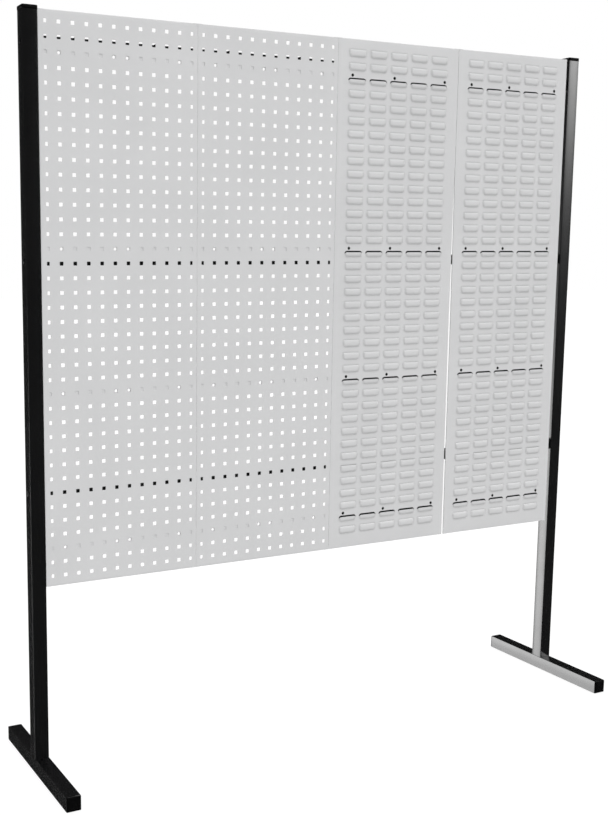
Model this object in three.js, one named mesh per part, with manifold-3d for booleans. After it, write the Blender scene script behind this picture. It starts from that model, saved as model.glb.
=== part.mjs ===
// Free-standing panel stand: two inverted-T legs joined by three crossbars, carrying
// two square-hole perforated panels and two louvred bin panels that hang on hooks.
// The panels are plain folded sheets, holed only where the stiffeners are fixed.
// Units are millimetres, +Z up. Origin: on the floor, at the centre of the footprint.
// The fronts of the panels and uprights lie in the plane Y = 0 and face -Y; left is -X.
import * as THREE from 'three';
import { mergeVertices } from 'three/addons/utils/BufferGeometryUtils.js';
import Module from 'manifold-3d';

const wasm = await Module();
wasm.setup();

// ---- shared dimensions ----
const INNER_W = 1780;         // clear width between the uprights
const HALF_INNER = INNER_W / 2;
const SIDES = [['left', -1], ['right', 1]];
const OVERSHOOT = 1;          // cutters run past a face, joined parts run into each other

const POST = 40;              // square tube of uprights and feet
const POST_HALF = POST / 2;   // also the Y of the uprights' centre line
const POST_WALL = 2;

const BAR = 30;               // square tube of the crossbars
const BAR_HALF = BAR / 2;
const BAR_WALL = 1.5;
const BAR_FRONT_Y = 10;
const BAR_BACK_Y = BAR_FRONT_Y + BAR;
const BAR_AXIS_Y = BAR_FRONT_Y + BAR_HALF;
const BAR_END_T = 5;          // threaded end plate
const BAR_Z = { top: 1946, middle: 1395, lower: 780 };   // centre heights

const BOLT_R = 4;
const BOLT_HOLE_R = 4.3;
const SOCKET_R = 2.9;
const SOCKET_DEPTH = 2.6;
const SOCKET_SIDES = 6;

// ---- materials ----
const blackPaint = () =>
  new THREE.MeshStandardMaterial({ color: 0x18191a, roughness: 0.35, metalness: 0.1 });
const greyPaint = () =>
  new THREE.MeshStandardMaterial({ color: 0xcfd0d0, roughness: 0.5, metalness: 0.1 });
const blackPlastic = () =>
  new THREE.MeshStandardMaterial({ color: 0x101112, roughness: 0.6, metalness: 0 });
const blackSteel = () =>
  new THREE.MeshStandardMaterial({ color: 0x1c1d1f, roughness: 0.4, metalness: 0.6 });

// ---- solid helpers ----
// Manifold needs shared vertices, so the seams left by normals and uvs are merged.
function toSolid(geometry) {
  geometry.deleteAttribute('normal');
  geometry.deleteAttribute('uv');
  const merged = mergeVertices(geometry, 1e-5);
  return new wasm.Manifold(new wasm.Mesh({
    numProp: 3,
    vertProperties: new Float32Array(merged.attributes.position.array),
    triVerts: new Uint32Array(merged.index.array),
  }));
}

function toGeometry(solid) {
  const { vertProperties, triVerts } = solid.getMesh();
  const geometry = new THREE.BufferGeometry();
  geometry.setAttribute('position',
    new THREE.BufferAttribute(new Float32Array(vertProperties), 3));
  geometry.setIndex(new THREE.BufferAttribute(new Uint32Array(triVerts), 1));
  geometry.computeVertexNormals();
  return geometry;
}

// A span is a pair of coordinates, in either order.
const length = ([a, b]) => Math.abs(b - a);
const middle = ([a, b]) => (a + b) / 2;
const around = (centre, reach) => [centre - reach, centre + reach];

function box(xSpan, ySpan, zSpan) {
  const geometry = new THREE.BoxGeometry(length(xSpan), length(ySpan), length(zSpan));
  geometry.translate(middle(xSpan), middle(ySpan), middle(zSpan));
  return toSolid(geometry);
}

// cylinder along an axis; u and v are its place on the other two axes, in x, y, z order
function rod(axis, radius, span, [u, v], segments = 24) {
  const geometry = new THREE.CylinderGeometry(radius, radius, length(span), segments);
  geometry.translate(0, middle(span), 0);
  if (axis === 'x') {
    geometry.rotateZ(-Math.PI / 2);
    geometry.translate(0, u, v);
  } else if (axis === 'y') {
    geometry.translate(u, 0, v);
  } else {
    geometry.rotateX(Math.PI / 2);
    geometry.translate(u, v, 0);
  }
  return toSolid(geometry);
}

const join = (...solids) => solids.reduce((whole, part) => whole.add(part));
const cut = (body, ...cutters) => cutters.reduce((rest, cutter) => rest.subtract(cutter), body);

function addMesh(parent, name, solid, material) {
  const mesh = new THREE.Mesh(toGeometry(solid), material);
  mesh.name = name;
  parent.add(mesh);
  return mesh;
}

function addGroup(parent, x, y, z) {
  const group = new THREE.Group();
  group.position.set(x, y, z);
  parent.add(group);
  return group;
}

// ---- legs: each in its own frame, with X = 0 on the upright's centre line ----
const FOOT_HALF_LEN = 490 / 2;       // over the end caps
const FOOT_CAP_T = 3;
const FOOT_TUBE_END = FOOT_HALF_LEN - FOOT_CAP_T;
const FOOT_PLUG_LEN = 12;
const FOOT_CEILING = POST - POST_WALL;   // underside of the foot tube's top wall
const ACCESS_R = 9;

const UPRIGHT_TOP = 2022;            // end of the upright tube
const CAP_H = 10;                    // upright cap, above the tube
const CAP_OVER = 1.2;                // cap overhang each side
const CAP_PLUG_LEN = 14;
const BASE_PLATE_T = 5;              // threaded plate in the bottom of the upright
const BASE_PLATE_TOP = POST + BASE_PLATE_T;

const PLUG_HALF = POST_HALF - POST_WALL - 0.4;   // half width, with 0.4 clearance
const PLUG_BORE_HALF = PLUG_HALF - 2;            // plug wall of 2
const PLUG_SKIN = 0.01;              // left between the plug's bore and its cap

const FOOT_BOLT_ROWS = [['front', -9.5], ['rear', 9.5]];   // Y from the upright's centre
const FOOT_BOLT_HEAD_R = 7;
const FOOT_BOLT_HEAD_H = 4.4;
const FOOT_BOLT_PROTRUSION = 11;     // past the base plate

// upright bolt with its head inside the foot and its socket opening downwards
function footBolt(y) {
  const headBottom = FOOT_CEILING - FOOT_BOLT_HEAD_H;
  const shank = [FOOT_CEILING - OVERSHOOT, BASE_PLATE_TOP + FOOT_BOLT_PROTRUSION];
  const socket = [headBottom - OVERSHOOT, headBottom + SOCKET_DEPTH];
  return cut(
    join(
      rod('z', FOOT_BOLT_HEAD_R, [headBottom, FOOT_CEILING], [0, y]),
      rod('z', BOLT_R, shank, [0, y])),
    rod('z', SOCKET_R, socket, [0, y], SOCKET_SIDES));
}

// tube along Y, with bolt holes in its top wall and access holes in its bottom wall
function foot() {
  const bore = POST_HALF - POST_WALL;
  const tube = cut(
    box(around(0, POST_HALF), around(0, FOOT_TUBE_END), [0, POST]),
    box(around(0, bore), around(0, FOOT_HALF_LEN + OVERSHOOT), around(POST_HALF, bore)));
  const holes = FOOT_BOLT_ROWS.flatMap(([, offset]) => {
    const at = [0, POST_HALF + offset];
    return [
      rod('z', BOLT_HOLE_R, [FOOT_CEILING - OVERSHOOT, POST + OVERSHOOT], at),
      rod('z', ACCESS_R, [-OVERSHOOT, POST_WALL + OVERSHOOT], at),
    ];
  });
  return cut(tube, ...holes);
}

// end plate with a hollow plug; direction is -1 at the front, 1 at the rear
function footCap(direction) {
  const ySpan = (outer, inner) => [direction * outer, direction * inner];
  const plugEnd = FOOT_TUBE_END - FOOT_PLUG_LEN;
  const plug = cut(
    box(around(0, PLUG_HALF), ySpan(FOOT_TUBE_END, plugEnd), around(POST_HALF, PLUG_HALF)),
    box(
      around(0, PLUG_BORE_HALF),
      ySpan(FOOT_TUBE_END - PLUG_SKIN, plugEnd - OVERSHOOT),
      around(POST_HALF, PLUG_BORE_HALF)));
  const plate = box(around(0, POST_HALF), ySpan(FOOT_HALF_LEN, FOOT_TUBE_END), [0, POST]);
  return join(plate, plug);
}

// tube standing on the foot, with its base plate and the crossbar bolt holes
function upright() {
  const square = (reach, zSpan) => box(around(0, reach), around(POST_HALF, reach), zSpan);
  const body = join(
    cut(
      square(POST_HALF, [POST, UPRIGHT_TOP]),
      square(POST_HALF - POST_WALL, [POST - OVERSHOOT, UPRIGHT_TOP + OVERSHOOT])),
    square(POST_HALF - POST_WALL / 2, [POST, BASE_PLATE_TOP]));
  const baseSpan = [POST - OVERSHOOT, BASE_PLATE_TOP + OVERSHOOT];
  const baseHoles = FOOT_BOLT_ROWS.map(([, offset]) =>
    rod('z', BOLT_HOLE_R, baseSpan, [0, POST_HALF + offset]));
  const barHoles = Object.values(BAR_Z).map((z) =>
    rod('x', BOLT_HOLE_R, around(0, POST_HALF + OVERSHOOT), [BAR_AXIS_Y, z]));
  return cut(body, ...baseHoles, ...barHoles);
}

// square lid with a hollow plug inside the tube
function uprightCap() {
  const square = (reach, zSpan) => box(around(0, reach), around(POST_HALF, reach), zSpan);
  const plugEnd = UPRIGHT_TOP - CAP_PLUG_LEN;
  return join(
    square(POST_HALF + CAP_OVER, [UPRIGHT_TOP, UPRIGHT_TOP + CAP_H]),
    cut(
      square(PLUG_HALF, [plugEnd, UPRIGHT_TOP]),
      square(PLUG_BORE_HALF, [plugEnd - OVERSHOOT, UPRIGHT_TOP - PLUG_SKIN])));
}

function addLeg(frame, side, direction) {
  const leg = addGroup(frame, direction * (HALF_INNER + POST_HALF), 0, 0);
  for (const [row, offset] of FOOT_BOLT_ROWS) {
    addMesh(leg, `foot_bolt_${side}_${row}`, footBolt(POST_HALF + offset), blackSteel());
  }
  addMesh(leg, `foot_${side}`, foot(), blackPaint());
  addMesh(leg, `foot_cap_${side}_front`, footCap(-1), blackPlastic());
  addMesh(leg, `foot_cap_${side}_rear`, footCap(1), blackPlastic());
  addMesh(leg, `upright_${side}`, upright(), blackPaint());
  addMesh(leg, `upright_cap_${side}`, uprightCap(), blackPlastic());
}

// ---- crossbars: each in its own frame, with Z = 0 on the bar's axis ----
const BAR_BOLT_HEAD_R = 8;           // low flat heads
const BAR_BOLT_HEAD_H = 1.8;
const BAR_BOLT_PROTRUSION = 10;      // past the end plate
const BAR_PLATE_INNER = HALF_INNER - BAR_END_T;

// tube along X with a drilled plate in each end
function crossbar() {
  const square = (xSpan, reach) => box(xSpan, around(BAR_AXIS_Y, reach), around(0, reach));
  const tube = cut(
    square(around(0, HALF_INNER), BAR_HALF),
    square(around(0, HALF_INNER + OVERSHOOT), BAR_HALF - BAR_WALL));
  const plates = SIDES.map(([, direction]) =>
    square([direction * HALF_INNER, direction * BAR_PLATE_INNER], BAR_HALF - BAR_WALL / 2));
  const holes = SIDES.map(([, direction]) => {
    const outer = direction * (HALF_INNER + OVERSHOOT);
    const inner = direction * (BAR_PLATE_INNER - OVERSHOOT);
    return rod('x', BOLT_HOLE_R, [outer, inner], [BAR_AXIS_Y, 0]);
  });
  return cut(join(tube, ...plates), ...holes);
}

// bolt through the upright, with its head and socket on the outer face
function crossbarBolt(direction) {
  const postFace = HALF_INNER + POST;
  const headTop = postFace + BAR_BOLT_HEAD_H;
  const shankEnd = BAR_PLATE_INNER - BAR_BOLT_PROTRUSION;
  const alongBar = (radius, inner, outer, segments) =>
    rod('x', radius, [direction * inner, direction * outer], [BAR_AXIS_Y, 0], segments);
  return cut(
    join(
      alongBar(BAR_BOLT_HEAD_R, postFace, headTop),
      alongBar(BOLT_R, shankEnd, postFace + OVERSHOOT)),
    alongBar(SOCKET_R, headTop - SOCKET_DEPTH, headTop + OVERSHOOT, SOCKET_SIDES));
}

function addCrossbar(frame, name, z) {
  const bar = addGroup(frame, 0, 0, z);
  addMesh(bar, `crossbar_${name}`, crossbar(), blackPaint());
  for (const [side, direction] of SIDES) {
    addMesh(bar, `crossbar_bolt_${name}_${side}`, crossbarBolt(direction), blackSteel());
  }
}

// ---- panels: each in its own frame, with X = 0, Z = 0 at its bottom left corner ----
const PANEL_H = 1500;
const PANEL_Z = 524;          // bottom edge above the floor
const SHEET = 1.5;
const HEM_W = 12;             // flat hem along each side edge
const FLANGE_D = 9;           // depth of the top and bottom flanges
const FOLD_LAP = 0.5;         // hems and flanges run this far into the face

const PITCH = 38;             // of the hole and louvre rows, and of the hole columns
const ROWS = 39;

const STIFF_ROWS = [3, 16, 26, 37];      // counted from the top
const STIFF_BELOW = 12;       // reach below and above its row
const STIFF_ABOVE = 8;
const STIFF_D = 7.8;          // channel depth
const STIFF_T = 1.2;
const STIFF_SIDE_GAP = 0.5;   // to the hems
const FIX_SEGMENTS = 12;

const SQUARE_HOLE = 10;
const LOUVRED_SHEET_HOLE_R = 4.5;
const PERF_W = 450;
const perfX = (pitches) => PERF_W / 2 + pitches * PITCH;   // from the panel's centre line

// firstRow is the bottom row's height, fixingX and hookX run from the left edge,
// sheetHole cuts the face in front of a fixing hole.
const PERFORATED = {
  name: 'perforated_panel',
  width: PERF_W,
  firstRow: (PANEL_H - (ROWS - 1) * PITCH) / 2,
  fixingX: [-4.5, -0.5, 0.5, 4.5].map(perfX),
  fixingR: 4,
  hookX: [-3, 3].map(perfX),  // between hole columns
  webAgainstSheet: true,
  stiffenerPaint: greyPaint,
  sheetHole: (ySpan, x, z) =>
    box(around(x, SQUARE_HOLE / 2), ySpan, around(z, SQUARE_HOLE / 2)),
};
const LOUVRED = {
  name: 'louvred_panel',
  width: 431,
  firstRow: 31,
  fixingX: [50.3, 198.4, 382.9],
  fixingR: 2.2,
  hookX: [103.1, 323.9],      // between louvre columns
  webAgainstSheet: false,
  stiffenerPaint: blackPaint,
  sheetHole: (ySpan, x, z) => rod('y', LOUVRED_SHEET_HOLE_R, ySpan, [x, z], FIX_SEGMENTS),
};
// left to right; gap is to the upright or panel on the left
const PANELS = [
  { type: PERFORATED, gap: 2 },
  { type: PERFORATED, gap: 0.5 },
  { type: LOUVRED, gap: 0.8 },
  { type: LOUVRED, gap: 4.7 },
];

const rowZ = (type, row) => type.firstRow + (ROWS - row) * PITCH;

// folded sheet: flat face, flat side hems, top and bottom flanges
function panelSheet(type) {
  const { width } = type;
  const hemY = [SHEET - FOLD_LAP, 2 * SHEET];
  const flangeY = [SHEET - FOLD_LAP, FLANGE_D];
  const body = join(
    box([0, width], [0, SHEET], [0, PANEL_H]),
    box([0, HEM_W], hemY, [0, PANEL_H]),
    box([width - HEM_W, width], hemY, [0, PANEL_H]),
    box([0, width], flangeY, [PANEL_H - SHEET, PANEL_H]),
    box([0, width], flangeY, [0, SHEET]));
  const throughFace = [-OVERSHOOT, SHEET + OVERSHOOT];
  const holes = STIFF_ROWS.flatMap((row) =>
    type.fixingX.map((x) => type.sheetHole(throughFace, x, rowZ(type, row))));
  return cut(body, ...holes);
}

// channel along X behind the sheet, with Z = 0 on its row
function stiffener({ width, webAgainstSheet, fixingX, fixingR }) {
  const left = HEM_W + STIFF_SIDE_GAP;
  const right = width - left;
  const back = SHEET + STIFF_D;
  const hollowY = webAgainstSheet
    ? [SHEET + STIFF_T, back + OVERSHOOT]
    : [SHEET - OVERSHOOT, back - STIFF_T];
  return cut(
    box([left, right], [SHEET, back], [-STIFF_BELOW, STIFF_ABOVE]),
    box(
      [left - OVERSHOOT, right + OVERSHOOT],
      hollowY,
      [-STIFF_BELOW + STIFF_T, STIFF_ABOVE - STIFF_T]),
    ...fixingX.map((x) =>
      rod('y', fixingR, [SHEET - OVERSHOOT, back + OVERSHOOT], [x, 0], FIX_SEGMENTS)));
}

// ---- hooks ----
const HOOK_W = 16;
const HOOK_T = 2.5;
const HOOK_RISE = 30;         // plate behind the sheet, above the top of the bar
const HOOK_FRONT_DROP = 20;   // legs, below the top of the bar
const HOOK_BACK_DROP = 12;
const HOOK_CLEAR = { top: 0.3, front: 0.4, back: 0.5 };   // to the faces of the bar

// hook over a crossbar whose top face is at Z = 0
function hook() {
  const xSpan = around(0, HOOK_W / 2);
  const frontLegBack = BAR_FRONT_Y - HOOK_CLEAR.front;
  const backLegFront = BAR_BACK_Y + HOOK_CLEAR.back;
  const backLegBack = backLegFront + HOOK_T;
  const legTop = HOOK_CLEAR.top + OVERSHOOT;
  return join(
    box(xSpan, [SHEET, SHEET + HOOK_T], [HOOK_CLEAR.top, HOOK_RISE]),
    box(xSpan, [SHEET, backLegBack], [HOOK_CLEAR.top, HOOK_CLEAR.top + HOOK_T]),
    box(xSpan, [frontLegBack - HOOK_T, frontLegBack], [-HOOK_FRONT_DROP, legTop]),
    box(xSpan, [backLegFront, backLegBack], [-HOOK_BACK_DROP, legTop]));
}

function addPanel(parent, type, number, x) {
  const panel = addGroup(parent, x, 0, PANEL_Z);
  addMesh(panel, `${type.name}_${number}`, panelSheet(type), greyPaint());
  for (const row of STIFF_ROWS) {
    const name = `stiffener_${number}_row_${row}`;
    const mesh = addMesh(panel, name, stiffener(type), type.stiffenerPaint());
    mesh.position.z = rowZ(type, row);
  }
  for (const bar of ['top', 'lower']) {
    SIDES.forEach(([side], i) => {
      const mesh = addMesh(panel, `hook_${number}_${bar}_${side}`, hook(), blackPaint());
      mesh.position.set(type.hookX[i], 0, BAR_Z[bar] + BAR_HALF - PANEL_Z);
    });
  }
}

// ---- assembly ----
const stand = new THREE.Group();
const frame = addGroup(stand, 0, 0, 0);
for (const [side, direction] of SIDES) addLeg(frame, side, direction);
for (const [name, z] of Object.entries(BAR_Z)) addCrossbar(frame, name, z);

let panelX = -HALF_INNER;
PANELS.forEach(({ type, gap }, i) => {
  panelX += gap;
  addPanel(stand, type, i + 1, panelX);
  panelX += type.width;
});

export default stand;
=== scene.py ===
import math
import bpy
import bmesh
from mathutils import Matrix, Vector


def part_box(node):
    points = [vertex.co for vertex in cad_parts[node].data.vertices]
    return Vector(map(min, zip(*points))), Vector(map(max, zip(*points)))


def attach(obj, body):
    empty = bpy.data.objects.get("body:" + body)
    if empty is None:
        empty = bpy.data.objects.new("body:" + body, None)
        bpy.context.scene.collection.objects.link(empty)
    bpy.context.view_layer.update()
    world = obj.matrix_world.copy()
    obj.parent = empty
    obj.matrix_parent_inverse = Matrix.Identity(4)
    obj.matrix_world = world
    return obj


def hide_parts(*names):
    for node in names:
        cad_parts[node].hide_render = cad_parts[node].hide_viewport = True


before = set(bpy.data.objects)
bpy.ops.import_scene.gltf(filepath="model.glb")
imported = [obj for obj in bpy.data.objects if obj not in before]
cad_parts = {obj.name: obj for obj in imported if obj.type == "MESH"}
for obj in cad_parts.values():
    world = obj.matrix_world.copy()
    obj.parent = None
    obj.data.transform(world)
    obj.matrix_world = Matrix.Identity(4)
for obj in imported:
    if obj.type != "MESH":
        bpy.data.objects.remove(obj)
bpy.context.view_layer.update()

scene = bpy.context.scene
MM = 0.001

# ------------------------------------------------------------------ materials


def new_mat(name):
    m = bpy.data.materials.new(name)
    m.use_nodes = True
    nt = m.node_tree
    nt.nodes.clear()
    out = nt.nodes.new("ShaderNodeOutputMaterial")
    b = nt.nodes.new("ShaderNodeBsdfPrincipled")
    nt.links.new(b.outputs[0], out.inputs[0])
    return m, nt, b


def noise(nt, coord, scale, detail=2.0, rough=0.5):
    n = nt.nodes.new("ShaderNodeTexNoise")
    n.inputs["Scale"].default_value = scale
    n.inputs["Detail"].default_value = detail
    n.inputs["Roughness"].default_value = rough
    nt.links.new(coord, n.inputs["Vector"])
    return n.outputs["Fac"]


def ramp(nt, fac, a, b, lo=0.3, hi=0.7):
    r = nt.nodes.new("ShaderNodeMapRange")
    r.inputs["From Min"].default_value = lo
    r.inputs["From Max"].default_value = hi
    r.inputs["To Min"].default_value = a
    r.inputs["To Max"].default_value = b
    nt.links.new(fac, r.inputs["Value"])
    return r.outputs["Result"]


def tint(nt, fac, dark, light):
    c = nt.nodes.new("ShaderNodeMix")
    c.data_type = "RGBA"
    c.inputs["A"].default_value = (*dark, 1)
    c.inputs["B"].default_value = (*light, 1)
    nt.links.new(fac, c.inputs["Factor"])
    return c.outputs["Result"]


def paint(name, dark, light, rough, spec, peel, grain, sheen_var=0.04, coat=0.0, painted_crease_shade=0.0):
    """A sprayed and baked coat: cloudy colour and gloss, orange peel and fine powder grain, and, given a distance,
    painted shade that darkens the colour in creases within that distance.
    """
    m, nt, b = new_mat(name)
    co = nt.nodes.new("ShaderNodeTexCoord").outputs["Object"]
    cloud = noise(nt, co, 5.0, 3.0, 0.55)
    speck = noise(nt, co, 900.0, 1.0, 0.5)
    mix = nt.nodes.new("ShaderNodeMath")
    mix.operation = "MULTIPLY_ADD"
    nt.links.new(ramp(nt, speck, -0.12, 0.12), mix.inputs[0])
    mix.inputs[1].default_value = 1.0
    nt.links.new(ramp(nt, cloud, 0.0, 1.0), mix.inputs[2])
    colour = tint(nt, mix.outputs[0], dark, light)
    # painted shade: ambient occlusion darkens the base colour in creases and recesses, in place of the shade that falls
    # there
    if painted_crease_shade:
        ao = nt.nodes.new("ShaderNodeAmbientOcclusion")
        ao.samples = 6
        ao.only_local = True
        ao.inputs["Distance"].default_value = painted_crease_shade
        near = nt.nodes.new("ShaderNodeMapRange")
        for k, v in (("From Min", 0.7), ("From Max", 0.985), ("To Min", 0.68), ("To Max", 1.0)):
            near.inputs[k].default_value = v
        nt.links.new(ao.outputs["AO"], near.inputs["Value"])
        dim = nt.nodes.new("ShaderNodeVectorMath")
        dim.operation = "SCALE"
        nt.links.new(colour, dim.inputs[0])
        nt.links.new(near.outputs["Result"], dim.inputs["Scale"])
        colour = dim.outputs["Vector"]
    nt.links.new(colour, b.inputs["Base Color"])
    nt.links.new(ramp(nt, noise(nt, co, 14.0, 3.0, 0.6), rough - sheen_var, rough + sheen_var), b.inputs["Roughness"])
    b.inputs["Specular IOR Level"].default_value = spec
    b.inputs["Coat Weight"].default_value = coat
    b.inputs["Coat Roughness"].default_value = 0.12
    bump1 = nt.nodes.new("ShaderNodeBump")
    bump1.inputs["Strength"].default_value = peel
    bump1.inputs["Distance"].default_value = 0.0004
    nt.links.new(noise(nt, co, 260.0, 2.0, 0.5), bump1.inputs["Height"])
    bump2 = nt.nodes.new("ShaderNodeBump")
    bump2.inputs["Strength"].default_value = grain
    bump2.inputs["Distance"].default_value = 0.0001
    nt.links.new(noise(nt, co, 1600.0, 1.0, 0.5), bump2.inputs["Height"])
    nt.links.new(bump1.outputs[0], bump2.inputs["Normal"])
    nt.links.new(bump2.outputs[0], b.inputs["Normal"])
    return m


# the grey coat carries painted shade in its creases, around the louvre feet and punched edges
GREY = paint("grey_powder_coat", (0.655, 0.657, 0.662), (0.685, 0.687, 0.692), 0.52, 0.18, 0.05, 0.05, painted_crease_shade=0.0075)
BLACK = paint("black_gloss_paint", (0.0048, 0.0049, 0.0052), (0.0064, 0.0065, 0.0068), 0.16, 1.0, 0.012, 0.008, 0.02)
BLACK_INNER = paint("black_satin_paint", (0.006, 0.006, 0.0065), (0.009, 0.009, 0.0095), 0.42, 0.3, 0.08, 0.05)


def plastic(name):
    """Moulded plastic: fine spark-eroded grain and faint flow marks."""
    m, nt, b = new_mat(name)
    co = nt.nodes.new("ShaderNodeTexCoord").outputs["Object"]
    flow = noise(nt, co, 40.0, 3.0, 0.6)
    nt.links.new(tint(nt, ramp(nt, flow, 0, 1), (0.0014, 0.0014, 0.0015), (0.0028, 0.0028, 0.003)), b.inputs["Base Color"])
    nt.links.new(ramp(nt, noise(nt, co, 700.0, 2.0), 0.5, 0.62), b.inputs["Roughness"])
    b.inputs["Specular IOR Level"].default_value = 0.12
    vor = nt.nodes.new("ShaderNodeTexVoronoi")
    vor.inputs["Scale"].default_value = 1400.0
    nt.links.new(co, vor.inputs["Vector"])
    bump = nt.nodes.new("ShaderNodeBump")
    bump.inputs["Strength"].default_value = 0.18
    bump.inputs["Distance"].default_value = 0.0002
    nt.links.new(vor.outputs["Distance"], bump.inputs["Height"])
    nt.links.new(bump.outputs[0], b.inputs["Normal"])
    return m


PLASTIC = plastic("black_moulded_plastic")


def zinc(name):
    """Black zinc plate on turned steel: fine rings about the axis and cloudy gloss."""
    m, nt, b = new_mat(name)
    co = nt.nodes.new("ShaderNodeTexCoord").outputs["Object"]
    cloud = noise(nt, co, 90.0, 3.0, 0.6)
    nt.links.new(tint(nt, ramp(nt, cloud, 0, 1), (0.012, 0.012, 0.014), (0.03, 0.03, 0.033)), b.inputs["Base Color"])
    nt.links.new(ramp(nt, noise(nt, co, 500.0, 2.0), 0.32, 0.5), b.inputs["Roughness"])
    b.inputs["Metallic"].default_value = 0.6
    bump = nt.nodes.new("ShaderNodeBump")
    bump.inputs["Strength"].default_value = 0.12
    bump.inputs["Distance"].default_value = 0.0001
    nt.links.new(noise(nt, co, 2200.0, 1.0), bump.inputs["Height"])
    nt.links.new(bump.outputs[0], b.inputs["Normal"])
    return m


ZINC = zinc("black_zinc_bolt")

# ------------------------------------------------------------------ mesh helpers


class Surf:
    """Vertices in millimetres, shared where they meet, and faces."""

    def __init__(self):
        self.v, self.k, self.f = [], {}, []

    def p(self, x, y, z):
        key = (round(x * 1e3), round(y * 1e3), round(z * 1e3))
        i = self.k.get(key)
        if i is None:
            i = self.k[key] = len(self.v)
            self.v.append((x, y, z))
        return i

    def face(self, *pts):
        ids = [self.p(*q) for q in pts]
        out = []
        for i in ids:
            if not out or out[-1] != i:
                out.append(i)
        if out[0] == out[-1]:
            out.pop()
        if len(out) > 2:
            self.f.append(out)

    def loft(self, loops, closed=True):
        for a, b in zip(loops, loops[1:]):
            n = len(a)
            for i in range(n if closed else n - 1):
                j = (i + 1) % n
                self.face(a[i], a[j], b[j], b[i])

    def fill(self, loop, flip=False):
        self.face(*(reversed(loop) if flip else loop))

    def cell(self, x0, z0, x1, z1, ring, y=0.0):
        """A flat rectangle with a hole: ring runs anticlockwise in x, z as seen from -Y."""
        cx = sum(q[0] for q in ring) / len(ring)
        cz = sum(q[1] for q in ring) / len(ring)
        corners = ((x0, y, z0), (x1, y, z0), (x1, y, z1), (x0, y, z1))

        def which(q):
            return (0 if q[0] < cx else 1) if q[1] < cz else (3 if q[0] < cx else 2)

        n = len(ring)
        for i in range(n):
            a, b = ring[i], ring[(i + 1) % n]
            ca, cb = which(a), which(b)
            pa, pb = (a[0], y, a[1]), (b[0], y, b[1])
            if ca == cb:
                self.face(corners[ca], pb, pa)
            else:
                self.face(corners[ca], corners[cb], pb, pa)

    def mesh(self, name, smooth=32):
        me = bpy.data.meshes.new(name)
        me.from_pydata([(x * MM, y * MM, z * MM) for x, y, z in self.v], [], self.f)
        me.validate()
        return me


def finish_mesh(me, smooth=32):
    bm = bmesh.new()
    bm.from_mesh(me)
    bmesh.ops.recalc_face_normals(bm, faces=bm.faces)
    bm.to_mesh(me)
    bm.free()
    me.polygons.foreach_set("use_smooth", [True] * len(me.polygons))
    me.set_sharp_from_angle(angle=math.radians(smooth))
    me.update()


def baked(o):
    dg = bpy.context.evaluated_depsgraph_get()
    me = bpy.data.meshes.new_from_object(o.evaluated_get(dg))
    o.modifiers.clear()
    o.data = me
    return me


def piece(node, surf_or_mesh, material, body, solid=0.0, bevel=0.0, shift=(0, 0, 0), smooth=32):
    me = surf_or_mesh.mesh(node) if isinstance(surf_or_mesh, Surf) else surf_or_mesh
    me.transform(Matrix.Translation(Vector(shift) * MM))
    o = bpy.data.objects.new(node + ".skin", me)
    scene.collection.objects.link(o)
    if solid:
        s = o.modifiers.new("sheet", "SOLIDIFY")
        s.thickness, s.offset = solid * MM, -1.0
        s.use_even_offset = True
        s.use_quality_normals = True
        s.use_rim = True
    if bevel:
        b = o.modifiers.new("edges", "BEVEL")
        b.width, b.segments = bevel * MM, 2
        b.limit_method, b.angle_limit = "ANGLE", math.radians(40)
        b.harden_normals = False
    if solid or bevel:
        me = baked(o)
    finish_mesh(o.data, smooth)
    o.data.materials.clear()
    o.data.materials.append(material)
    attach(o, body)
    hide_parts(node)
    return o


def arc(cx, cz, r, a0, a1, n):
    return [(cx + r * math.cos(math.radians(a0 + (a1 - a0) * i / n)), cz + r * math.sin(math.radians(a0 + (a1 - a0) * i / n))) for i in range(n + 1)]


def rounded(w, h, r, n=5):
    """Rounded rectangle about the origin, anticlockwise, as 2-D points."""
    pts = []
    for sx, sz, a in ((1, -1, -90), (1, 1, 0), (-1, 1, 90), (-1, -1, 180)):
        pts += arc(sx * (w / 2 - r), sz * (h / 2 - r), r, a, a + 90, n)
    return pts


def on_z(pts, cx, cy, z):
    return [(cx + a, cy + b, z) for a, b in pts]


def on_y(pts, cx, cz, y):
    return [(cx + a, y, cz + b) for a, b in pts]


def on_x(pts, cy, cz, x):
    return [(x, cy + a, cz + b) for a, b in pts]


def tube(place, w, wall, r, a, b, chamfer=0.4):
    """Square tube with rounded corners and lightly broken end edges, along the axis place() puts it on."""
    s = Surf()
    outer, inner = rounded(w, w, r), rounded(w - 2 * wall, w - 2 * wall, max(r - wall, 0.8))
    small = rounded(w - 2 * chamfer, w - 2 * chamfer, r - chamfer * 0.5)
    loops = [place(inner, a), place(small, a), place(outer, a + chamfer), place(outer, b - chamfer), place(small, b), place(inner, b)]
    s.loft(loops + [loops[0]])
    return s


def node_box(name):
    lo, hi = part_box(name)
    return [c / MM for c in lo], [c / MM for c in hi]


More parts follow.
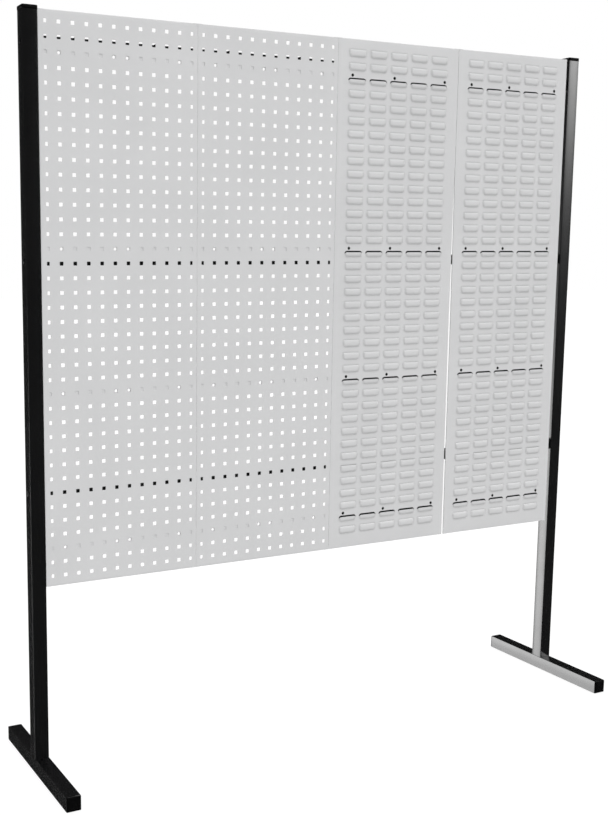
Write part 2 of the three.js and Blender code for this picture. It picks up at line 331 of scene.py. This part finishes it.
# ------------------------------------------------------------------ legs
POST_R = 1.0
for side in ("left", "right"):
    lo, hi = node_box(f"upright_{side}")
    cx, cy = (lo[0] + hi[0]) / 2, (lo[1] + hi[1]) / 2
    s = tube(lambda pts, z: on_z(pts, cx, cy, z), 40, 2, POST_R, lo[2], hi[2])
    piece(f"upright_{side}", s, BLACK, "frame")

    # top cap: crowned lid with a skirt step and a hollow plug
    lo, hi = node_box(f"upright_cap_{side}")
    W = hi[0] - lo[0]
    zt = hi[2]
    zl = zt - 10
    s = Surf()
    p = 35.2
    loops = [
        on_z(rounded(p - 4, p - 4, 1.2), cx, cy, zl - 0.5),
        on_z(rounded(p - 4, p - 4, 1.2), cx, cy, lo[2]),
        on_z(rounded(p - 1, p - 1, 1.6), cx, cy, lo[2]),
        on_z(rounded(p, p, 2.0), cx, cy, lo[2] + 2),
        on_z(rounded(p, p, 2.0), cx, cy, zl),
        on_z(rounded(W - 0.8, W - 0.8, 3.6), cx, cy, zl),
        on_z(rounded(W, W, 4.0), cx, cy, zl + 0.5),
        on_z(rounded(W, W, 4.0), cx, cy, zt - 2.2),
        on_z(rounded(W - 0.7, W - 0.7, 3.9), cx, cy, zt - 1.2),
        on_z(rounded(W - 2.2, W - 2.2, 3.6), cx, cy, zt - 0.55),
        on_z(rounded(W - 5.0, W - 5.0, 3.0), cx, cy, zt - 0.25),
        on_z(rounded(W - 18, W - 18, 2.4), cx, cy, zt - 0.05),
    ]
    s.loft(loops)
    s.fill(loops[0], flip=True)
    s.fill(loops[-1])
    piece(f"upright_cap_{side}", s, PLASTIC, "frame", smooth=40)

    # foot: tube along Y with two access holes in its underside
    lo, hi = node_box(f"foot_{side}")
    fx, fz = (lo[0] + hi[0]) / 2, (lo[2] + hi[2]) / 2
    s = tube(lambda pts, y: on_y(pts, fx, fz, y), 40, 2, POST_R, lo[1], hi[1])
    me = s.mesh("foot")
    finish_mesh(me)
    foot = bpy.data.objects.new("foot_tmp", me)
    scene.collection.objects.link(foot)
    cutter = Surf()
    for dy in (-9.5, 9.5):
        ring = arc(0, 0, 9, 0, 337.5, 15)
        by = 20 + dy
        loops = [on_z(ring, fx, by, -1), on_z(ring, fx, by, 3)]
        cutter.loft(loops)
        cutter.fill(loops[0], flip=True)
        cutter.fill(loops[1])
    cm = cutter.mesh("cut")
    finish_mesh(cm)
    co = bpy.data.objects.new("cut_tmp", cm)
    scene.collection.objects.link(co)
    b = foot.modifiers.new("holes", "BOOLEAN")
    b.operation, b.solver, b.object = "DIFFERENCE", "EXACT", co
    me = baked(foot).copy()
    bpy.data.objects.remove(foot)
    bpy.data.objects.remove(co)
    piece(f"foot_{side}", me, BLACK, "frame")

    for end, e in (("front", -1), ("rear", 1)):
        lo, hi = node_box(f"foot_cap_{side}_{end}")
        yo = lo[1] if e < 0 else hi[1]
        yi = hi[1] if e < 0 else lo[1]
        face = yo - e * 3
        s = Surf()
        q = 35.2
        loops = [
            on_y(rounded(q - 4, q - 4, 1.2), fx, fz, face + e * 0.5),
            on_y(rounded(q - 4, q - 4, 1.2), fx, fz, yi),
            on_y(rounded(q - 1, q - 1, 1.6), fx, fz, yi),
            on_y(rounded(q, q, 2.0), fx, fz, yi + e * 2),
            on_y(rounded(q, q, 2.0), fx, fz, face),
            on_y(rounded(39.6, 39.6, 1.9), fx, fz, face),
            on_y(rounded(40, 40, 2.0), fx, fz, face + e * 0.3),
            on_y(rounded(40, 40, 2.0), fx, fz, yo - e * 1.3),
            on_y(rounded(39.3, 39.3, 2.0), fx, fz, yo - e * 0.6),
            on_y(rounded(37.8, 37.8, 1.9), fx, fz, yo - e * 0.15),
            on_y(rounded(30, 30, 1.8), fx, fz, yo),
        ]
        s.loft(loops)
        s.fill(loops[0], flip=True)
        s.fill(loops[-1])
        piece(f"foot_cap_{side}_{end}", s, PLASTIC, "frame", smooth=40)

# ------------------------------------------------------------------ crossbars
for bar in ("top", "middle", "lower"):
    lo, hi = node_box(f"crossbar_{bar}")
    cy, cz = (lo[1] + hi[1]) / 2, (lo[2] + hi[2]) / 2
    s = tube(lambda pts, x: on_x(pts, cy, cz, x), hi[2] - lo[2], 1.5, 2.5, lo[0], hi[0], 0.3)
    piece(f"crossbar_{bar}", s, BLACK_INNER, "frame")


# ------------------------------------------------------------------ bolts
def bolt(length, head_r=7.0, head_h=4.4, r=4.0, n=36):
    """Button-head bolt along +Z: head top at z = 0, shank down to -length."""
    s = Surf()

    def ring(rad, z):
        return on_z(arc(0, 0, rad, 0, 360 - 360 / n, n - 1), 0, 0, z)

    def hexagon(af, z):
        pts = []
        for i in range(n):
            t = 2 * math.pi * i / n
            k = (t + math.pi / 6) % (math.pi / 3) - math.pi / 6
            pts.append((af / 2 / math.cos(k) * math.cos(t), af / 2 / math.cos(k) * math.sin(t), z))
        return pts

    loops = [hexagon(5.0, -2.6), hexagon(5.0, -0.25), hexagon(5.4, 0)]
    for a in range(0, 91, 15):
        rad = 3.5 + (head_r - 0.5 - 3.5) * math.sin(math.radians(a))
        loops.append(ring(rad, -(head_h - 1.0) * (1 - math.cos(math.radians(a)))))
    loops += [ring(head_r, -head_h + 0.9), ring(head_r, -head_h + 0.3), ring(head_r - 0.3, -head_h), ring(r + 0.3, -head_h), ring(r, -head_h - 0.3)]
    z = -head_h - 1.0
    while z > -length + 1.2:
        loops += [ring(r, z), ring(r - 0.45, z - 0.55), ring(r, z - 1.1)]
        z -= 1.25
    loops += [ring(r - 0.6, -length)]
    s.loft(loops)
    s.fill(loops[0], flip=True)
    s.fill(loops[-1])
    return s


for bar in ("top", "middle", "lower"):
    for side, sg in (("left", -1), ("right", 1)):
        node = f"crossbar_bolt_{bar}_{side}"
        lo, hi = node_box(node)
        me = bolt(hi[0] - lo[0], 8.0, 1.8).mesh(node)
        me.transform(Matrix.Rotation(math.radians(90 * sg), 4, "Y"))
        tip = hi[0] if sg > 0 else lo[0]
        piece(node, me, ZINC, "frame", shift=(tip, (lo[1] + hi[1]) / 2, (lo[2] + hi[2]) / 2), smooth=38)
for side in ("left", "right"):
    for end in ("front", "rear"):
        node = f"foot_bolt_{side}_{end}"
        lo, hi = node_box(node)
        me = bolt(hi[2] - lo[2]).mesh(node)
        me.transform(Matrix.Rotation(math.radians(180), 4, "X"))
        piece(node, me, ZINC, "frame", shift=((lo[0] + hi[0]) / 2, (lo[1] + hi[1]) / 2, lo[2]), smooth=38)

# ------------------------------------------------------------------ panels
SHEET = 1.5
HEM_R = 1.7
HEM_CORNER = 0.6     # the fold is pressed flat, with tight corners
HEM_W = 12.0
EDGE = 13.0          # flanges and cells start this far from the side edges
FL_R = 2.0
FL_D = 9.0
PITCH = 38.0
STIFF_ROWS = (3, 16, 26, 37)


def row_z(k, louv=False):
    return (31 if louv else 28) + (39 - k) * PITCH


def along(stops, z):
    """Straight-line steps through (height, value) pairs."""
    if z <= stops[0][0]:
        return stops[0][1]
    for (za, va), (zb, vb) in zip(stops, stops[1:]):
        if z <= zb:
            return va + (vb - va) * (z - za) / (zb - za)
    return stops[-1][1]


def frame_of_sheet(s, W, H, xs, zs, edges):
    """Side strips with their folded hems and the bent top and bottom flanges. xs: grid lines from EDGE to W - EDGE. zs: grid lines from FL_R to H - FL_R.
    edges: how far the left and the right edge stand out from the nominal width, by height."""
    zall = [0.0] + list(zs) + [H]
    q = HEM_CORNER
    for z0, z1 in zip(zall, zall[1:]):
        l0, l1, r0, r1 = along(edges[0], z0), along(edges[0], z1), along(edges[1], z0), along(edges[1], z1)
        s.face((q - l0, 0, z0), (EDGE, 0, z0), (EDGE, 0, z1), (q - l1, 0, z1))
        s.face((W - EDGE, 0, z0), (W - q + r0, 0, z0), (W - q + r1, 0, z1), (W - EDGE, 0, z1))
        prof = [(q, 0.0) if i == 0 else (q - q * math.sin(math.radians(22.5 * i)), q - q * math.cos(math.radians(22.5 * i))) for i in range(5)]
        prof += [(a, 2 * HEM_R - b) for a, b in reversed(prof)] + [(HEM_W, 2 * HEM_R)]
        for (xa, ya), (xb, yb) in zip(prof, prof[1:]):
            s.face((xb - l0, yb, z0), (xa - l0, ya, z0), (xa - l1, ya, z1), (xb - l1, yb, z1))
            s.face((W - xa + r0, ya, z0), (W - xb + r0, yb, z0), (W - xb + r1, yb, z1), (W - xa + r1, ya, z1))
    n = 5
    prof = [(FL_R - FL_R * math.cos(math.pi / 2 * i / n), FL_R * math.sin(math.pi / 2 * i / n)) for i in range(n + 1)] + [(FL_D, FL_R)]
    for x0, x1 in zip(xs, xs[1:]):
        for (ya, za), (yb, zb) in zip(prof, prof[1:]):
            s.face((x0, ya, H - FL_R + za), (x1, ya, H - FL_R + za), (x1, yb, H - FL_R + zb), (x0, yb, H - FL_R + zb))
            s.face((x0, yb, FL_R - zb), (x1, yb, FL_R - zb), (x1, ya, FL_R - za), (x0, ya, FL_R - za))


def square_ring(x0, x1, z0, z1, c):
    return [(x0 + c, z0), (x1 - c, z0), (x1, z0 + c), (x1, z1 - c), (x1 - c, z1), (x0 + c, z1), (x0, z1 - c), (x0, z0 + c)]


def rim(s, outer, inner, depth):
    """Rounded-off punched edge from the outer ring at y = 0 to the inner ring at y = depth."""
    s.loft([[(a, 0.0, b) for a, b in outer], [(a, depth, b) for a, b in inner]])


def perforated(W, H, edges):
    s = Surf()
    xs = [EDGE] + [35 + PITCH * i for i in range(11)] + [W - EDGE]
    zs = [FL_R] + [9 + PITCH * i for i in range(40)] + [H - FL_R]
    frame_of_sheet(s, W, H, xs, zs, edges)
    for i in range(12):
        x0, x1 = xs[i], xs[i + 1]
        c = 16 + PITCH * i
        hx0, hx1 = (13.75, 21) if i == 0 else (W - 21, W - 13.75) if i == 11 else (c - 5, c + 5)
        for z0, z1 in ((zs[0], zs[1]), (zs[-2], zs[-1])):
            s.face((x0, 0, z0), (x1, 0, z0), (x1, 0, z1), (x0, 0, z1))
        for j in range(39):
            zc = 28 + PITCH * j
            e = 0.25
            outer = square_ring(hx0 - e, hx1 + e, zc - 5 - e, zc + 5 + e, 1.1)
            inner = square_ring(hx0, hx1, zc - 5, zc + 5, 1.0)
            s.cell(x0, zs[j + 1], x1, zs[j + 2], outer)
            rim(s, outer, inner, 0.25)
    return s


LV_PITCH = 73.6
LV_CENTRE = 213.5
LV_HALF = 31.0
LV_OUT = 4.4
FIX_LOUV = (50.3, 198.4, 382.9)
LIP = ((0.0, 0.52), (1.7, 0.74), (3.6, 0.91), (6.2, 1.0))    # drop below the lip's edge, share of the full height


def louvre_rings(xc, zk, short):
    """U-shaped rings of one louvre from its foot on the sheet up to its face, which leans back at the lip. The top edge is open."""
    rings = []
    #        side inset, bottom inset, height, corner radius
    steps = ((0.0, 0.0, 0.0, 9.0), (0.7, 0.9, 0.22, 8.8), (1.6, 2.0, 0.9, 8.3), (2.8, 3.4, 2.1, 7.6), (4.0, 5.0, 3.3, 6.9), (5.4, 7.0, 4.1, 6.2), (7.2, 9.4, LV_OUT, 5.4))
    for side, bottom, out, r in steps:
        top = (-15.6 + 4.0 * out / LV_OUT) if short else -4.6
        x0, x1, z0 = -LV_HALF + side, LV_HALF - side, -27 + bottom
        room = min(1.0, (top - z0 - r) / 6.4)
        pts = [(x0, top - d * room, k) for d, k in LIP]
        pts += [(a, b, 1.0) for a, b in arc(x0 + r, z0 + r, r, 180, 270, 5)]
        pts += [(a, b, 1.0) for a, b in arc(x1 - r, z0 + r, r, 270, 360, 5)]
        pts += [(x1, top - d * room, k) for d, k in reversed(LIP)]
        rings.append([(xc + a, -out * k, zk + b) for a, b, k in pts])
    return rings


def louvred(W, H, edges):
    s = Surf()
    centres = [LV_CENTRE + LV_PITCH * i for i in (-2, -1, 0, 1, 2)]
    xs = [EDGE] + [(a + b) / 2 for a, b in zip(centres, centres[1:])] + [W - EDGE]

    def slit(k):
        return row_z(k, True) - (6.0 if k in STIFF_ROWS else 3.6)

    zs = [FL_R]
    for k in range(38, 0, -1):
        zs += [row_z(k, True) - 28.5, slit(k)]
    zs += [row_z(1, True) + 9.5, H - FL_R]
    frame_of_sheet(s, W, H, xs, zs, edges)
    for i, xc in enumerate(centres):
        x0, x1 = xs[i], xs[i + 1]
        for z0, z1 in ((zs[0], zs[1]), (zs[-2], zs[-1])):
            s.face((x0, 0, z0), (x1, 0, z0), (x1, 0, z1), (x0, 0, z1))
        for k in range(1, 39):
            zk = row_z(k, True)
            short = k in STIFF_ROWS
            z0, z1, z2 = zk - 28.5, slit(k), zk + 9.5
            rings = louvre_rings(xc, zk, short)
            base, last = rings[0], rings[-1]
            n = len(base)
            A, B, C, D = (x0, 0, z0), (x1, 0, z0), (x1, 0, z1), (x0, 0, z1)
            # sheet around the foot of the louvre
            s.face(A, *[base[q] for q in range(4, -1, -1)], D)
            for q in range(4, 9):
                s.face(A, base[q + 1], base[q])
            s.face(A, B, base[10], base[9])
            for q in range(10, 15):
                s.face(B, base[q + 1], base[q])
            s.face(B, C, *[base[q] for q in range(n - 1, 14, -1)])
            if short:
                cut = [(xc + a, 0.0, zk + b) for a, b in ((-30.2, -11.6), (-27.8, -8.8), (-23.6, -7.3), (23.6, -7.3), (27.8, -8.8), (30.2, -11.6))]
                cut = [base[0]] + cut + [base[-1]]
                for q in range(3):
                    s.face(D, cut[q], cut[q + 1])
                s.face(D, cut[3], cut[4], C)
                for q in range(4, 7):
                    s.face(C, cut[q], cut[q + 1])
            else:
                s.face(D, base[0], base[-1], C)
            s.loft(rings, closed=False)
            # face, in strips between the left and right halves
            for q in range(n // 2 - 1):
                s.face(last[q], last[q + 1], last[n - 2 - q], last[n - 1 - q])
            fix = {0: FIX_LOUV[0], 2: FIX_LOUV[1], 4: FIX_LOUV[2]}.get(i) if short else None
            if fix is None:
                s.face((x0, 0, z1), (x1, 0, z1), (x1, 0, z2), (x0, 0, z2))
            else:
                outer = [(fix + a, zk + b) for a, b in arc(0, 0, 4.7, 9, 351, 19)]
                inner = [(fix + a, zk + b) for a, b in arc(0, 0, 4.5, 9, 351, 19)]
                s.cell(x0, z1, x1, z2, outer)
                rim(s, outer, inner, 0.2)
    return s


def channel(W, web_front, fixings):
    """Folded channel across the back of a panel, with clearance holes in its web. Local z = 0 is its hole row."""
    s = Surf()
    t, r = 1.2, 1.9
    x0, x1 = HEM_W + 0.5, W - HEM_W - 0.5
    y0, y1 = SHEET, SHEET + 7.8
    yw = y0 if web_front else y1
    sg = 1 if web_front else -1
    tip = y1 if web_front else y0
    zb, zt = (-12.0 if web_front else -17.0), 8.0
    n = 4
    low = [(tip, zb)] + [(yw + sg * (r - r * math.sin(math.pi / 2 * i / n)), zb + r - r * math.cos(math.pi / 2 * i / n)) for i in range(n + 1)]
    high = [(yw + sg * (r - r * math.cos(math.pi / 2 * i / n)), zt - r + r * math.sin(math.pi / 2 * i / n)) for i in range(n + 1)] + [(tip, zt)]
    xs = [x0]
    for fx in fixings:
        xs += [fx - 7, fx + 7]
    xs.append(x1)

    def f(*pts):
        s.face(*(pts if web_front else reversed(pts)))

    for a, b in zip(xs, xs[1:]):
        for (ya, za), (yb, zc) in zip(low, low[1:]):
            f((a, ya, za), (b, ya, za), (b, yb, zc), (a, yb, zc))
        for (ya, za), (yb, zc) in zip(high, high[1:]):
            f((a, ya, za), (b, ya, za), (b, yb, zc), (a, yb, zc))
    za, zc = low[-1][1], high[0][1]
    for i, (a, b) in enumerate(zip(xs, xs[1:])):
        if i % 2 == 0:
            f((a, yw, za), (b, yw, za), (b, yw, zc), (a, yw, zc))
        else:
            ring = [(fixings[i // 2] + p, q) for p, q in arc(0, 0, 4.0 if web_front else 2.2, 9, 351, 19)]
            if web_front:
                s.cell(a, za, b, zc, ring, yw)
            else:
                start = len(s.f)
                s.cell(a, za, b, zc, ring, yw)
                for q in range(start, len(s.f)):
                    s.f[q] = list(reversed(s.f[q]))
    return s


def hook():
    """Bent strap hook over a crossbar, seen in profile along X. Local z = 0 is the top of the bar."""
    t, c = 2.5, 0.3
    yb = 40.5
    prof = [(SHEET, 30.0)]
    prof += [(SHEET, c + 2.0)]
    prof += arc(SHEET + 2.0, c + 2.0, 2.0, 180, 270, 4)[1:]
    prof += [(7.1, c), (7.1, -19.0), (7.9, -20.0), (8.8, -20.0), (9.6, -19.0), (9.6, c)]
    prof += [(yb - 0.6, c), (yb, c - 0.6), (yb, -11.2), (yb + 0.8, -12.0), (yb + 1.7, -12.0), (yb + t, -11.2)]
    prof += arc(yb + t - 3.0, c + t - 3.0, 3.0, 0, 90, 5)
    prof += [(SHEET + t + 0.6, c + t), (SHEET + t, c + t + 0.6), (SHEET + t, 30.0)]
    w = 8.0
    s = Surf()
    a = [(-w, y, z) for y, z in prof]
    b = [(w, y, z) for y, z in prof]
    s.loft([a, b])
    s.fill(a, flip=True)
    s.fill(b)
    return s


# the joint between panels 3 and 4 is nearly shut over the top quarter and stands open below
JOINT = ((0.0, -0.9), (380.0, -0.7), (560.0, -0.9), (720.0, -0.8), (907.0, -0.3), (1031.0, 0.4), (1160.0, 1.95), (1500.0, 1.8))
EDGES = {1: (((0.0, 1.5),), ((0.0, 0.15),)), 2: (((0.0, 0.15),), ((0.0, 0.25),)), 3: (((0.0, 0.25),), JOINT), 4: (JOINT, ((0.0, 0.0),))}
for n in (1, 2, 3, 4):
    louv = n > 2
    W = 431.0 if louv else 450.0
    H = 1500.0
    body = f"panel_{n}"
    node = (f"louvred_panel_{n}" if louv else f"perforated_panel_{n}")
    lo, hi = node_box(node)
    base = (lo[0], lo[1], lo[2])
    surf = louvred(W, H, EDGES[n]) if louv else perforated(W, H, EDGES[n])
    piece(node, surf, GREY, body, solid=SHEET, shift=base, smooth=30)
    fixings = FIX_LOUV if louv else (54.0, 206.0, 244.0, 396.0)
    for r in STIFF_ROWS:
        surf = channel(W, not louv, fixings)
        piece(f"stiffener_{n}_row_{r}", surf, BLACK_INNER if louv else GREY, body, solid=1.2, shift=(base[0], base[1], base[2] + row_z(r, louv)), smooth=30)
    for bar in ("top", "lower"):
        for side in ("left", "right"):
            hn = f"hook_{n}_{bar}_{side}"
            hlo, hhi = node_box(hn)
            blo, bhi = node_box(f"crossbar_{bar}")
            piece(hn, hook(), BLACK_INNER, body, bevel=0.35, shift=((hlo[0] + hhi[0]) / 2, base[1], bhi[2]), smooth=35)

# ------------------------------------------------------------------ floor, light, camera
bm = bmesh.new()
bmesh.ops.create_grid(bm, x_segments=8, y_segments=8, size=30.0)
me = bpy.data.meshes.new("floor")
bm.to_mesh(me)
bm.free()
floor = bpy.data.objects.new("floor", me)
floor.location = (0, 0, -0.0005)
scene.collection.objects.link(floor)
m, nt, b = new_mat("pale_floor")
b.inputs["Base Color"].default_value = (0.2, 0.2, 0.2, 1)
b.inputs["Roughness"].default_value = 1.0
b.inputs["Specular IOR Level"].default_value = 0.0
b.inputs["Emission Color"].default_value = (1, 1, 1, 1)
b.inputs["Emission Strength"].default_value = 0.86
me.materials.append(m)
floor.visible_glossy = False
floor.visible_diffuse = False

world = bpy.data.worlds.new("studio")
scene.world = world
world.use_nodes = True
nt = world.node_tree
nt.nodes.clear()
out = nt.nodes.new("ShaderNodeOutputWorld")
bg = nt.nodes.new("ShaderNodeBackground")
nt.links.new(bg.outputs[0], out.inputs[0])
lp = nt.nodes.new("ShaderNodeLightPath")
tc = nt.nodes.new("ShaderNodeTexCoord").outputs["Generated"]
sep = nt.nodes.new("ShaderNodeSeparateXYZ")
nt.links.new(tc, sep.inputs[0])


def wmap(value, f0, f1, t0, t1, smooth=True):
    r = nt.nodes.new("ShaderNodeMapRange")
    r.interpolation_type = "SMOOTHSTEP" if smooth else "LINEAR"
    for k, v in (("From Min", f0), ("From Max", f1), ("To Min", t0), ("To Max", t1)):
        r.inputs[k].default_value = v
    nt.links.new(value, r.inputs["Value"])
    return r.outputs["Result"]


def wmath(op, a, b):
    r = nt.nodes.new("ShaderNodeMath")
    r.operation = op
    for i, v in enumerate((a, b)):
        if isinstance(v, (int, float)):
            r.inputs[i].default_value = v
        else:
            nt.links.new(v, r.inputs[i])
    return r.outputs[0]


def wvec(op, a, b=None):
    r = nt.nodes.new("ShaderNodeVectorMath")
    r.operation = op
    nt.links.new(a, r.inputs[0])
    if b is not None:
        r.inputs[1].default_value = b
    return r


def table(value, stops, scale):
    """Smooth curve through (value, level) pairs."""
    lo, hi = stops[0][0], stops[-1][0]
    ramp_ = nt.nodes.new("ShaderNodeValToRGB")
    ramp_.color_ramp.interpolation = "B_SPLINE"
    el = ramp_.color_ramp.elements
    while len(el) > 1:
        el.remove(el[-1])
    for i, (v, level) in enumerate(stops):
        e = el[0] if i == 0 else el.new((v - lo) / (hi - lo))
        e.position = (v - lo) / (hi - lo)
        e.color = (level / scale,) * 3 + (1,)
    nt.links.new(wmap(value, lo, hi, 0, 1, False), ramp_.inputs["Fac"])
    return wmath("MULTIPLY", ramp_.outputs["Color"], scale)


# light on the matt surfaces: a large soft box in front, its twin behind, a ceiling, and a dim fill
up = sep.outputs["Z"]
front = wvec("DOT_PRODUCT", tc, (0.0, -0.976, 0.218)).outputs["Value"]
back = wvec("DOT_PRODUCT", tc, (0.0, 0.976, 0.218)).outputs["Value"]
box_a = wmath("POWER", wmath("MAXIMUM", front, 0.0), 4.0)
box_b = wmath("POWER", wmath("MAXIMUM", back, 0.0), 4.0)
fill = wmap(up, -0.3, 0.3, 0.26, 0.18)
DIFFUSE = wmath("ADD", wmath("ADD", wmath("MULTIPLY", box_a, 1.87), wmath("MULTIPLY", box_b, 1.87)), wmath("ADD", fill, wmap(up, 0.55, 0.8, 0, 1.0)))
flat = nt.nodes.new("ShaderNodeCombineXYZ")
nt.links.new(sep.outputs["X"], flat.inputs[0])
nt.links.new(sep.outputs["Y"], flat.inputs[1])
heading = wvec("NORMALIZE", flat.outputs[0]).outputs["Vector"]
# two narrow upright cards, mirrored by the glossy black legs
a = wvec("DOT_PRODUCT", heading, (0.7071, -0.7071, 0)).outputs["Value"]
b_ = wvec("DOT_PRODUCT", heading, (-0.7071, 0.7071, 0)).outputs["Value"]
col_a = table(up, ((-0.25, 0.01), (-0.17, 0.01), (-0.132, 0.018), (-0.082, 0.03), (-0.048, 0.05), (-0.006, 0.13), (0.0365, 0.36), (0.079, 1.2), (0.121, 3.1), (0.145, 4.2), (0.18, 4.9)), 5.0)
col_b = table(up, ((-0.35, 3.6), (-0.32, 4.3), (-0.28, 5.0), (-0.244, 5.2), (-0.197, 5.2), (-0.132, 3.9), (-0.082, 2.0), (-0.048, 0.9), (-0.006, 0.3), (0.0365, 0.17), (0.079, 0.08), (0.145, 0.04)), 6.0)
card_a = wmath("MULTIPLY", wmap(a, 0.982, 0.9935, 0, 1.06), col_a)
card_b = wmath("MULTIPLY", wmap(b_, 0.982, 0.9935, 0, 1.06), col_b)
# dim panels to either side and behind, which show up the frame in side and rear views
hx = wmath("ABSOLUTE", wvec("DOT_PRODUCT", heading, (1.0, 0.0, 0.0)).outputs["Value"], 0.0)
hy = wvec("DOT_PRODUCT", heading, (0.0, 1.0, 0.0)).outputs["Value"]
dim_cards = wmath("MULTIPLY", wmath("ADD", wmap(hx, 0.965, 0.99, 0, 0.25), wmap(hy, 0.985, 0.996, 0, 0.25)), wmap(up, -0.5, 0.3, 0.45, 1.0))
GLOSS = wmath("ADD", wmath("ADD", wmath("ADD", card_a, card_b), dim_cards), wmath("ADD", wmap(up, 0.6, 0.95, 0, 0.7), wmap(up, 0.12, 0.3, 0.026, 0.024)))


def pick(fac, a, b):
    r = nt.nodes.new("ShaderNodeMix")
    r.data_type = "FLOAT"
    nt.links.new(fac, r.inputs["Factor"])
    for k, v in (("A", a), ("B", b)):
        if isinstance(v, (int, float)):
            r.inputs[k].default_value = v
        else:
            nt.links.new(v, r.inputs[k])
    return r.outputs["Result"]


strength = pick(lp.outputs["Is Camera Ray"], pick(lp.outputs["Is Glossy Ray"], DIFFUSE, GLOSS), 1.0)
bg.inputs["Color"].default_value = (1, 1, 1, 1)
nt.links.new(strength, bg.inputs["Strength"])
world.cycles.sampling_method = "NONE"

scene.view_settings.view_transform = "Standard"
scene.view_settings.look = "None"

# camera solved for the picture's viewing angle; the picture is an off-centre crop, hence the lens shift
F, CX, CY = 1124.24, 168.45, 412.56
yaw, pitch = 0.446, 0.1419
cam = bpy.data.cameras.new("camera")
cam.sensor_width = 36.0
cam.sensor_fit = "AUTO"
cam.lens = F * 36.0 / 816.0
cam.clip_start, cam.clip_end = 0.05, 100
camo = bpy.data.objects.new("camera", cam)
scene.collection.objects.link(camo)
fwd = Vector((math.sin(yaw) * math.cos(pitch), math.cos(yaw) * math.cos(pitch), -math.sin(pitch)))
camo.location = (-1.8587, -2.7889, 1.4183)
camo.rotation_mode = "QUATERNION"
camo.rotation_quaternion = fwd.to_track_quat("-Z", "Y")


mark = bpy.data.objects.new("camera_place", None)
mark.location = camo.location
scene.collection.objects.link(mark)


def crop_shift(path, value):
    """Lens shift that holds only while the camera stands at its own place, so that any other view is centred."""
    setattr(cam, path, value)
    curve = cam.driver_add(path)
    for mod in list(curve.modifiers):
        curve.modifiers.remove(mod)
    d = curve.driver
    d.type = "SUM"
    v = d.variables.new()
    v.type = "LOC_DIFF"
    v.targets[0].id = camo
    v.targets[1].id = mark
    while len(curve.keyframe_points):
        curve.keyframe_points.remove(curve.keyframe_points[0])
    for metres, level in ((-1.0, value), (0.05, value), (0.25, 0.0), (100.0, 0.0)):
        curve.keyframe_points.insert(metres, level).interpolation = "LINEAR"


crop_shift("shift_x", (304 - CX) / 816.0)
crop_shift("shift_y", (CY - 408) / 816.0)
scene.camera = camo
